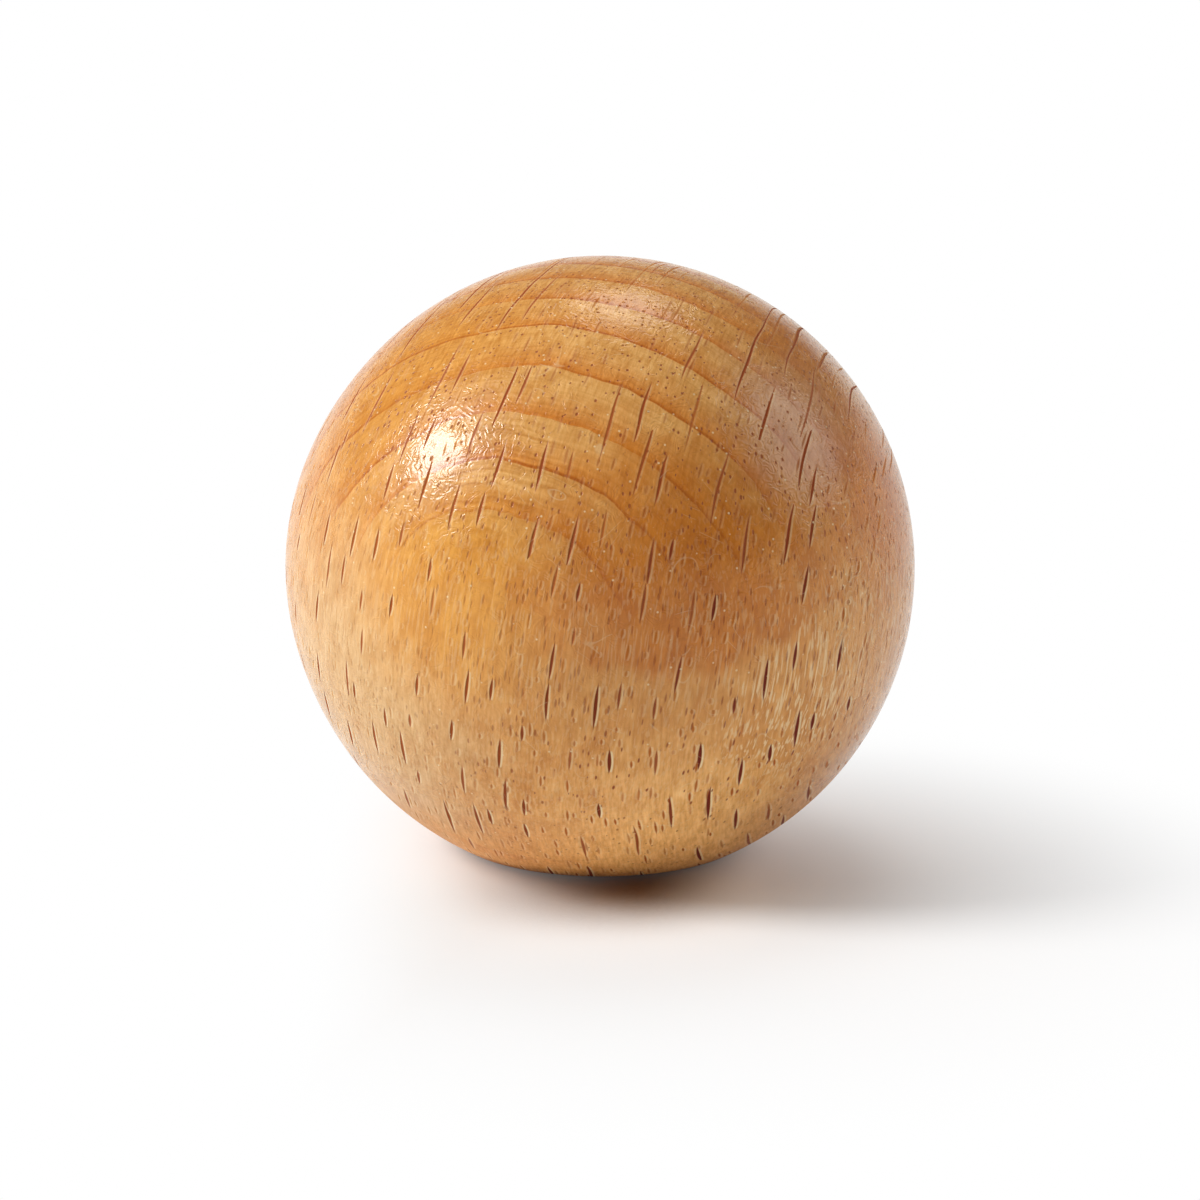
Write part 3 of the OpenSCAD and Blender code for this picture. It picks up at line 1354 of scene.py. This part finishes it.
@dataclass
class TurnedBall:
    """The turned ball, with its seat and the hole for its insert. Lengths in millimetres.

    Attributes:
        radius: Radius of the ball.
        centre: Height of the ball's centre above the seat.
        insert: The insert that the hole takes.
        play: Play between the insert and the wood.
        seat_edge: Radius that softens the edge of the seat.
        mouth_break: Width of the break at the mouth of the hole.
        screw_room: Depth of the hole past the insert.
        drill_angle: Angle of the drill's point, in degrees.
        arc_steps: Steps of the outline from top to bottom.
        turn_steps: Steps round the axis.
        edge_steps: Steps of the seat's soft edge.
    """

    radius: float
    centre: float
    insert: "ThreadedInsert"
    play: float = 0.05
    seat_edge: float = 0.5
    mouth_break: float = 0.25
    screw_room: float = 3.0
    drill_angle: float = 118.0
    arc_steps: int = 128
    turn_steps: int = 224
    edge_steps: int = 4

    @property
    def hole(self) -> float:
        """Radius of the hole."""
        return self.insert.body + self.play

    @property
    def drill_tip(self) -> float:
        """Height of the hole's pointed end."""
        point = self.hole / math.tan(math.radians(self.drill_angle / 2))
        return self.insert.top + self.screw_room + point

    def build(self, outside: Material, inside: Material) -> Piece:
        """Builds and dresses the ball.

        Args:
            outside: The lacquered wood.
            inside: The bored wood.

        Returns:
            The finished piece.
        """
        ball = self._outline()
        with shaping(ball):
            bpy.ops.mesh.select_all(action="SELECT")
            bpy.ops.mesh.spin(steps=self.turn_steps, angle=FULL_TURN, center=(0, 0, 0),
                              axis=(0, 0, 1))
        tidied(ball)
        self._sand_uneven(ball)
        groove = self.insert.wood_thread(self.play).build("groove_tool")
        worked(ball, groove, Joinery.CUT)
        tidied(ball)
        self._dress(ball, outside, inside)
        return ball

    def _outline(self) -> Piece:
        """Draws half of the section: the ball's arc, the seat, and the hole.

        Returns:
            The open outline, in the plane of X and Z.
        """
        seat = math.sqrt(self.radius ** 2 - self.centre ** 2)
        counterbore = self.insert.flange + self.play
        corners = ((seat, 0), (counterbore + self.mouth_break, 0),
                   (counterbore, self.mouth_break), (counterbore, self.insert.shoulder),
                   (self.hole, self.insert.shoulder),
                   (self.hole, self.insert.top + self.screw_room), (0, self.drill_tip))
        bpy.ops.mesh.primitive_circle_add(
            vertices=2 * self.arc_steps, radius=self.radius * MM,
            location=(0, 0, self.centre * MM), rotation=(math.pi / 2, 0, 0))
        ball = started("turned_ball")
        with shaping(ball):
            pick(ball, Pick.VERTICES, lambda p: p.x < -TINY or p.z < self.seat_edge / 3)
            bpy.ops.mesh.delete(type="VERT")
            lowest = min(v.co.z for v in bmesh.from_edit_mesh(ball.data).verts) / MM
            pick(ball, Pick.VERTICES, lambda p: p.z < lowest + TINY)
            end = next(v.co.copy() for v in bmesh.from_edit_mesh(ball.data).verts if v.select)
            for x, z in corners:
                corner = Vector((x, 0, z)) * MM
                bpy.ops.mesh.extrude_vertices_move(TRANSFORM_OT_translate={"value": corner - end})
                end = corner
            pick(ball, Pick.VERTICES, lambda p: (p - Vector((seat, 0, 0))).length < TINY)
            bend = math.asin(seat / self.radius)
            bpy.ops.mesh.bevel(affect="VERTICES", segments=self.edge_steps, profile=ROUND,
                               offset=self.seat_edge * math.tan(bend / 2) * MM)
        return ball

    def _sand_uneven(self, ball: Piece) -> None:
        """Sands the ball very slightly out of true, as a turned ball is.

        Args:
            ball: The turned ball.
        """
        for uneven in Unevenness:
            bearing, rise, push, spread = uneven.value
            way = direction(bearing, rise)
            spot = Vector((0, 0, self.centre)) + way * self.radius
            with shaping(ball):
                near = min((v.co / MM - spot).length for v in bmesh.from_edit_mesh(ball.data).verts)
                pick(ball, Pick.VERTICES, lambda p, spot=spot, near=near:
                     (p - spot).length < near + TINY)
                bpy.ops.transform.translate(
                    value=way * push * MM, use_proportional_edit=True,
                    proportional_edit_falloff="SMOOTH", proportional_size=spread * MM)

    def _dress(self, ball: Piece, outside: Material,
               inside: Material) -> None:
        """Gives the outside and the hole their finishes.

        Args:
            ball: The ball.
            outside: The lacquered wood.
            inside: The bored wood.
        """
        mouth = self.insert.flange + self.play + self.mouth_break + TINY
        ball.data.materials.clear()
        ball.data.materials.append(outside)
        ball.data.materials.append(inside)
        with shaping(ball):
            bpy.ops.mesh.select_all(action="SELECT")
            ball.active_material_index = 0
            bpy.ops.object.material_slot_assign()
            pick(ball, Pick.FACES,
                 lambda p: radius_of(p) < mouth and p.z < self.drill_tip + TINY)
            ball.active_material_index = 1
            bpy.ops.object.material_slot_assign()
        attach(ball, "root")
        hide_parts("wooden_ball")


@dataclass
class ThreadedInsert:
    """The screw-in insert that takes the mounting screw. Lengths in millimetres.

    Attributes:
        bottom: Height of its outer face above the seat.
        top: Height of its nose.
        flange: Radius of the flange.
        body: Radius of the body.
        flange_thick: Thickness of the flange.
        flange_break: Width of the break on the flange's outer edge.
        nose: Radius at the end of the nose.
        nose_long: Length of the nose's taper.
        crest: Radius over the crests of the wood thread.
        pitch: Rise of the wood thread in one turn.
        root_wide: Width of the wood thread's root.
        crest_wide: Width of its crest.
        buried: How deep its root lies in the body.
        run_out: Width of the taper that the thread runs out on at the nose.
        hexagon: Width of the socket across its flats.
        hexagon_deep: Depth of the socket.
        hexagon_break: Width of the break round the socket's mouth.
        screw_core: Core radius of the machine thread.
        screw_crest: Outer radius of the machine thread.
        screw_pitch: Rise of the machine thread in one turn.
        screw_buried: How deep the root of its ridge lies in the core.
        screw_root: Width of that root, in pitches.
        screw_flat: Width of its crest, in pitches.
        overcut: How far a cutting tool stands out of the insert.
        round_steps: Steps round the axis.
    """

    bottom: float
    top: float
    flange: float = 4.8
    body: float = 3.1
    flange_thick: float = 1.0
    flange_break: float = 0.2
    nose: float = 2.5
    nose_long: float = 1.2
    crest: float = 4.0
    pitch: float = 2.5
    root_wide: float = 1.1
    crest_wide: float = 0.2
    buried: float = 0.4
    run_out: float = 2.3
    hexagon: float = 4.1
    hexagon_deep: float = 3.0
    hexagon_break: float = 0.3
    screw_core: float = 1.65
    screw_crest: float = 2.0
    screw_pitch: float = 0.7
    screw_buried: float = 0.15
    screw_root: float = 0.9
    screw_flat: float = 0.125
    overcut: float = 1.0
    round_steps: int = 96

    @property
    def shoulder(self) -> float:
        """Height of the flange's inner face."""
        return self.bottom + self.flange_thick

    def wood_thread(self, play: float = 0.0) -> HelicalThread:
        """Describes the wood thread, or with some play the groove that it lies in.

        Args:
            play: Play between the thread and its groove, or 0 for the thread.

        Returns:
            The thread, with a turn to spare, or the groove.
        """
        start = self.shoulder - self.pitch / 2
        whole = math.floor if play else math.ceil
        turns = whole((self.top - start) / self.pitch)
        return HelicalThread(self.body - self.buried, self.crest + play,
                             self.root_wide + 2 * play, self.crest_wide + 2 * play,
                             self.pitch, start, turns)

    def build(self, finish: Material) -> Piece:
        """Builds and dresses the insert.

        Args:
            finish: The zinc plate.

        Returns:
            The finished piece.
        """
        insert = self._blank()
        thread = worked(self.wood_thread().build("wood_thread"), self._thread_blank(),
                        Joinery.KEEP)
        worked(insert, thread, Joinery.ADD)
        worked(insert, self._socket_tool(), Joinery.CUT)
        worked(insert, self._tap(), Joinery.CUT)
        tidied(insert)
        insert.data.materials.clear()
        insert.data.materials.append(finish)
        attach(insert, "root")
        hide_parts("threaded_insert")
        return insert

    def _blank(self) -> Piece:
        """Turns the flange, the body and the tapered nose.

        Returns:
            The blank.
        """
        blank = rod("screw_insert", self.round_steps, self.flange, self.bottom, self.shoulder)
        body_long = self.top - self.nose_long - self.shoulder
        with shaping(blank):
            pick(blank, Pick.FACES, lambda p: p.z > self.shoulder - TINY)
            bpy.ops.mesh.inset(thickness=(self.flange - self.body) * MM, depth=0)
            for rise, radius in ((body_long, self.body), (self.nose_long, self.nose)):
                bpy.ops.mesh.extrude_region_move(
                    TRANSFORM_OT_translate={"value": (0, 0, rise * MM)})
                share = radius / self.body
                bpy.ops.transform.resize(value=(share, share, 1),
                                         center_override=(0, 0, self.top * MM))
            pick(blank, Pick.EDGES, lambda p: p.z < self.bottom + TINY)
            bpy.ops.mesh.bevel(offset=self.flange_break * MM, segments=3, profile=ROUND)
        return blank

    def _thread_blank(self) -> Piece:
        """Turns the blank that the wood thread is cut from, with a tapered run-out.

        Returns:
            The blank.
        """
        low = self.shoulder - self.flange_thick / 2
        radius = self.crest + self.root_wide
        blank = rod("thread_blank", self.round_steps, radius, low, self.top)
        with shaping(blank):
            pick(blank, Pick.EDGES, lambda p: p.z > self.top - TINY)
            bpy.ops.mesh.bevel(offset=self.run_out * MM, segments=1)
        return blank

    def _socket_tool(self) -> Piece:
        """Makes the hexagon punch, wider where it breaks the socket's mouth.

        Returns:
            The punch.
        """
        corner = self.hexagon / 2 / math.cos(math.pi / 6)
        low = self.bottom - self.overcut
        punch = rod("hexagon_punch", 6, corner, low, self.bottom + self.hexagon_deep)
        wide = corner + self.hexagon_break + self.overcut
        narrow = corner - self.hexagon_break
        bpy.ops.mesh.primitive_cone_add(
            vertices=self.round_steps, radius1=wide * MM, radius2=narrow * MM,
            depth=(wide - narrow) * MM, location=(0, 0, (low + (wide - narrow) / 2) * MM))
        return worked(punch, started("socket_mouth"), Joinery.ADD)

    def _tap(self) -> Piece:
        """Makes the tap: the core drill with the machine thread's ridge round it.

        Returns:
            The tap.
        """
        low = self.bottom + self.hexagon_deep - self.screw_pitch / 2
        high = self.top + self.screw_pitch
        drill = rod("tap_drill", self.round_steps, self.screw_core, low, high)
        turns = math.floor((high - low) / self.screw_pitch)
        ridge = HelicalThread(self.screw_core - self.screw_buried, self.screw_crest,
                              self.screw_pitch * self.screw_root,
                              self.screw_pitch * self.screw_flat, self.screw_pitch, low, turns)
        return worked(drill, ridge.build("tap_ridge"), Joinery.ADD)


# ------------------------------------------------------------------ the studio


class Panel(Enum):
    """The soft panels: bearing, rise in degrees, width in metres and power in watts."""

    BACK = (172.0, 57.0, 0.20, 0.30)
    RIGHT = (98.0, 32.0, 0.32, 0.54)
    FRONT = (0.0, 8.0, 0.80, 0.17)


@dataclass
class Studio:
    """The pale floor, the soft lights and the camera. The ball's sizes are in metres.

    Attributes:
        ball_radius: Radius of the ball.
        ball_height: Height of the ball's centre.
        camera_rise: The camera's elevation, in degrees.
        camera_reach: The camera's distance, in radii of the ball.
        focal_px: Focal length, in pixels of a 1200-pixel frame.
        aim_px: Where the frame's middle lies from the ball's middle, right and down.
        sun_rise: Elevation of the key light, in degrees.
        sun_behind: How far the key light stands behind the ball's left, in degrees.
        sun_width: Angles that the key light and the cloth round it cover, in degrees.
        sun_strength: Strengths of the two.
        panel_reach: Distance of the soft panels, in metres.
        paper: Reflectance of the floor's paper.
        painted_contact_shade: Colour of the painted shade laid on the paper close under the ball.
        painted_shade_reach: How far off the ball still darkens the paper, in radii of the ball.
        painted_shade_open: Openness of the paper where that colour is full and where it ends.
        painted_shade_across: Where it starts, is full and has faded, in radii towards the right.
        fade: Middle, start and end of the floor's fade to white, in radii of the ball; for the
            camera this fade is a painted light that pales the ball's shadow.
        fade_left: Where the fade at the left is full and where it starts, in the same way.
        ceiling: Brightness of the studio above the horizon.
        horizon: Where the pale band at the horizon starts to fade and ends, by its rise.
    """

    ball_radius: float
    ball_height: float
    camera_rise: float = 13.7
    camera_reach: float = 14.0
    focal_px: float = 4371.0
    aim_px: Span = (-1.7, 31.2)
    sun_rise: float = 38.5
    sun_behind: float = -4.0
    sun_width: Span = (20.5, 46.0)
    sun_strength: Span = (2.2, 0.85)
    panel_reach: float = 0.5
    paper: float = 0.95
    painted_contact_shade: Colour = (0.17, 0.095, 0.05)
    painted_shade_reach: float = 0.5
    painted_shade_open: Span = (0.25, 0.9)
    painted_shade_across: Point = (-0.7, 0.1, 0.5)
    fade: tuple[Point, float, float] = ((0.2, -0.7, 0.0), 0.1, 2.2)
    fade_left: Span = (-0.9, -0.2)
    ceiling: float = 0.15
    horizon: Span = (0.05, 0.3)

    def build(self) -> None:
        """Builds the whole studio."""
        self._floor()
        self._lights()
        self._world()
        self._camera()

    def _floor(self) -> None:
        """Lays the paper, with painted shade close under the ball, and fades it to plain white a
        short way from the knob, a painted light that pales the ball's shadow.
        """
        bpy.ops.mesh.primitive_plane_add(size=4.0, location=(0, 0, 0))
        floor = started("floor")
        material, g, shader = new_material("paper_floor")
        path = g.node("ShaderNodeLightPath").outputs
        radii = g.scaled(g.node("ShaderNodeTexCoord").outputs["Object"], 1 / self.ball_radius)
        across, _, _ = g.split(radii)
        # Painted shade: where the ball shuts off the paper's sky, the camera sees the paper
        # darkened to a warm tint, strongest under the ball's middle, none at the left and faint at
        # the right.
        sky = g.node("ShaderNodeAmbientOcclusion",
                     {"Distance": self.painted_shade_reach * self.ball_radius}, samples=12)
        start, full, faded = self.painted_shade_across
        under = g.times(g.remap(sky.outputs["AO"], *self.painted_shade_open, 1.0, 0.0),
                        g.remap(across, start, full), g.remap(across, full, faded, 1.0, 0.1),
                        path["Is Camera Ray"])
        g.feed(shader.inputs["Base Color"], g.blend(under, (self.paper,) * 3, self.painted_contact_shade))
        shader.inputs["Roughness"].default_value = 0.9
        shader.inputs["Specular IOR Level"].default_value = 0.0
        # Painted light: for camera and glossy rays the paper glows plain white, fading in from just
        # in front of the ball, so the ball's shadow pales towards its far end.
        middle, start, end = self.fade
        far = g.most(g.remap(g.vector_math("DISTANCE", radii, middle)["Value"], start, end),
                     g.remap(across, *self.fade_left, 1.0, 0.0))
        seen = g.most(path["Is Camera Ray"], path["Is Glossy Ray"], path["Is Transmission Ray"])
        glow = g.node("ShaderNodeEmission", {"Color": (1.0, 1.0, 1.0)})
        mixed = g.node("ShaderNodeMixShader",
                       {0: g.times(far, seen), 1: shader.outputs[0], 2: glow.outputs[0]})
        g.feed(material.node_tree.nodes["Material Output"].inputs["Surface"], mixed.outputs[0])
        floor.data.materials.append(material)

    def _lights(self) -> None:
        """Sets the key light and the soft panels."""
        for name, width, strength in zip(("key", "key_cloth"), self.sun_width, self.sun_strength):
            data = bpy.data.lights.new(name, "SUN")
            data.energy = strength
            data.angle = math.radians(width)
            self._placed(data, direction(-90 - self.sun_behind, self.sun_rise))
        for panel in Panel:
            bearing, rise, width, power = panel.value
            data = bpy.data.lights.new(panel.name.lower() + "_panel", "AREA")
            data.shape = "DISK"
            data.size = width
            data.energy = power
            self._placed(data, direction(bearing, rise))

    def _placed(self, data: bpy.types.Light, towards: Vector) -> None:
        """Hangs a light on a bearing from the ball, facing it.

        Args:
            data: The light.
            towards: The unit vector from the ball to it.
        """
        light = bpy.data.objects.new(data.name, data)
        bpy.context.scene.collection.objects.link(light)
        light.location = Vector((0, 0, self.ball_height)) + towards * self.panel_reach
        light.rotation_mode = "QUATERNION"
        light.rotation_quaternion = (-towards).to_track_quat("-Z", "Y")

    def _world(self) -> None:
        """Darkens the studio's ceiling and leaves a pale band at the horizon."""
        world = bpy.data.worlds.new("studio")
        world.use_nodes = True
        bpy.context.scene.world = world
        world.node_tree.nodes.clear()
        g = Graph(world.node_tree)
        _, _, up = g.split(g.node("ShaderNodeTexCoord").outputs["Generated"])
        path = g.node("ShaderNodeLightPath").outputs
        shiny = g.most(path["Is Glossy Ray"], path["Is Transmission Ray"])
        band = g.times(g.remap(up, *self.horizon, 1.0, self.ceiling), shiny)
        light = g.most(band, path["Is Camera Ray"], self.ceiling)
        background = g.node("ShaderNodeBackground", {"Color": g.join(light, light, light)})
        g.node("ShaderNodeOutputWorld", {"Surface": background.outputs[0]})

    def _camera(self) -> None:
        """Sets the camera."""
        data = bpy.data.cameras.new("camera")
        data.sensor_width = 36.0
        data.lens = self.focal_px * data.sensor_width / IMAGE_PX
        data.clip_start = 0.01
        camera = bpy.data.objects.new("camera", data)
        bpy.context.scene.collection.objects.link(camera)
        centre = Vector((0, 0, self.ball_height))
        towards = direction(0, self.camera_rise)
        reach = self.ball_radius * self.camera_reach
        right = Vector((1, 0, 0))
        up = towards.cross(right)
        aim = centre + (right * self.aim_px[0] - up * self.aim_px[1]) * (reach / self.focal_px)
        camera.location = centre + towards * reach
        camera.rotation_mode = "QUATERNION"
        camera.rotation_quaternion = (aim - camera.location).to_track_quat("-Z", "Y")
        bpy.context.scene.camera = camera


def direction(bearing: float, rise: float) -> Vector:
    """Works out a direction.

    Args:
        bearing: Degrees round the knob: 0 is the camera's side and 90 the right.
        rise: Degrees above the floor.

    Returns:
        The unit vector towards it.
    """
    turn, lift = math.radians(bearing), math.radians(rise)
    out = math.cos(lift)
    return Vector((math.sin(turn) * out, -math.cos(turn) * out, math.sin(lift)))


def main() -> None:
    """Builds the knob and its studio."""
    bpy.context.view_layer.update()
    insert_low, insert_high = (Vector(corner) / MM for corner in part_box("threaded_insert"))
    ball_low, ball_high = (Vector(corner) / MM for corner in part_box("wooden_ball"))
    radius = (ball_high.x - ball_low.x) / 2
    wood = WoodEffects(TreeFrame())
    coat = CoatEffects()
    insert = ThreadedInsert(insert_low.z, insert_high.z)
    ball = TurnedBall(radius, ball_high.z - radius, insert)
    pieces = (ball.build(LacqueredWood().build(wood, coat), BoredWood().build(wood, coat)),
              insert.build(ZincPlate().build(coat)))
    for piece in pieces:
        log.info("%s: %d faces", piece.name, len(piece.data.polygons))
    Studio(radius * MM, ball.centre * MM).build()
    bpy.context.scene.view_settings.view_transform = "Standard"


if __name__ == "__main__":
    logging.basicConfig(level=logging.INFO)
    main()
